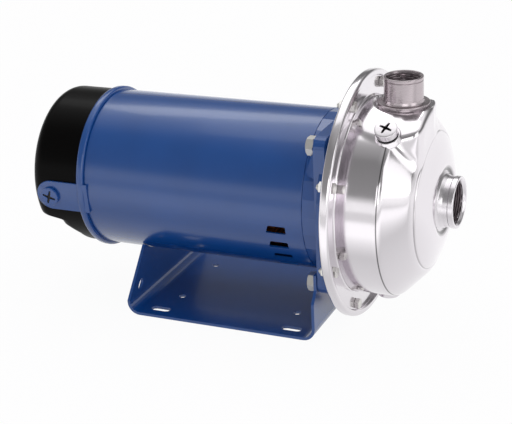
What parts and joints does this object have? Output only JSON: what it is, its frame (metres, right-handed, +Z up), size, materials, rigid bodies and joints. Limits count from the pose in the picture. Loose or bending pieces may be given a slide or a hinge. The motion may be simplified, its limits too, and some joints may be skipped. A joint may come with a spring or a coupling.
{
  "type": "close-coupled centrifugal pump",
  "caption": "Close-coupled end-suction centrifugal pump: drawn stainless casing, round electric motor and bent sheet foot.",
  "frame": {"origin": "centre of the foot's underside", "axes": "+X along the shaft from the motor to the suction port, +Z up, -Y towards the vent plug's side"},
  "size_m": [0.4416, 0.2506, 0.2535],
  "materials": {
    "blue_enamel": "gloss enamel",
    "black_enamel": "gloss enamel",
    "polished_stainless": "polished",
    "turned_stainless": "turned",
    "zinc_plate": "zinc plated",
    "bearing_steel": "ground",
    "laminated_steel": "varnished laminations",
    "copper_winding": "varnished enamelled copper wire",
    "nitrile_rubber": "moulded",
    "ceramic": "lapped",
    "carbon_graphite": "lapped",
    "moulded_black": "moulded"
  },
  "bodies": {
    "root": {"foot_bracket": "blue_enamel", "motor_shell": "blue_enamel", "front_endshield": "blue_enamel", "rear_endshield": "blue_enamel", "rear_cover": "black_enamel", "cover_screw_near": "blue_enamel", "cover_screw_far": "blue_enamel", "seal_plate": "polished_stainless", "casing": "polished_stainless", "discharge_collar": "polished_stainless", "casing_bolt_1": "zinc_plate", "casing_bolt_2": "zinc_plate", "casing_bolt_3": "zinc_plate", "casing_bolt_4": "zinc_plate", "casing_bolt_5": "zinc_plate", "casing_bolt_6": "zinc_plate", "casing_bolt_7": "zinc_plate", "casing_bolt_8": "zinc_plate", "casing_nut_1": "zinc_plate", "casing_nut_2": "zinc_plate", "casing_nut_3": "zinc_plate", "casing_nut_4": "zinc_plate", "casing_nut_5": "zinc_plate", "casing_nut_6": "zinc_plate", "casing_nut_7": "zinc_plate", "casing_nut_8": "zinc_plate", "adapter_nut_1": "zinc_plate", "adapter_nut_2": "zinc_plate", "adapter_nut_3": "zinc_plate", "adapter_nut_4": "zinc_plate", "front_bearing_outer": "bearing_steel", "rear_bearing_outer": "bearing_steel", "stator_core": "laminated_steel", "winding_front": "copper_winding", "winding_rear": "copper_winding", "through_bolt_1": "zinc_plate", "through_bolt_2": "zinc_plate", "through_bolt_3": "zinc_plate", "through_bolt_4": "zinc_plate", "stationary_switch": "moulded_black", "start_capacitor": "moulded_black", "terminal_board": "moulded_black", "seal_seat": "ceramic", "wear_ring": "turned_stainless", "casing_o_ring": "nitrile_rubber"},
    "rotor": {"motor_shaft": "bearing_steel", "rotor_core": "laminated_steel", "front_bearing_inner": "bearing_steel", "rear_bearing_inner": "bearing_steel", "cooling_fan": "moulded_black", "water_slinger": "nitrile_rubber", "impeller": "turned_stainless", "impeller_nut": "turned_stainless", "seal_rotary_head": "carbon_graphite", "seal_spring": "turned_stainless"},
    "governor": {"switch_governor": "moulded_black"},
    "vent_washer": {"vent_plug_washer": "nitrile_rubber"},
    "vent_plug": {"vent_plug": "turned_stainless"},
    "drain_washer": {"drain_plug_washer": "nitrile_rubber"},
    "drain_plug": {"drain_plug": "turned_stainless"}
  },
  "joints": [
    {"name": "rotor_spin", "type": "hinge", "parent": "root", "child": "rotor", "pos_m": [0, 0, 0.128], "axis": [1, 0, 0], "continuous": true},
    {"name": "governor_slide", "type": "slide", "parent": "rotor", "child": "governor", "axis": [1, 0, 0], "range_m": [0, 0.003], "stiffness_N_per_m": 600},
    {"name": "vent_lift", "type": "slide", "parent": "root", "child": "vent_washer", "axis": [0, -0.5519, 0.8339], "range_m": [0, 0.0085]},
    {"name": "vent_turn", "type": "hinge", "parent": "vent_washer", "child": "vent_plug", "pos_m": [0.171, 0, 0.128], "axis": [0, -0.5519, 0.8339], "range_deg": [0, 2160]},
    {"name": "drain_lift", "type": "slide", "parent": "root", "child": "drain_washer", "axis": [0, 0, -1], "range_m": [0, 0.0085]},
    {"name": "drain_turn", "type": "hinge", "parent": "drain_washer", "child": "drain_plug", "pos_m": [0.152, 0, 0.128], "axis": [0, 0, -1], "range_deg": [0, 2160]}
  ],
  "couplings": [
    {"joint": "vent_lift", "follows": "vent_turn", "m_per_rad": 0.00022457},
    {"joint": "drain_lift", "follows": "drain_turn", "m_per_rad": 0.00022457}
  ]
}
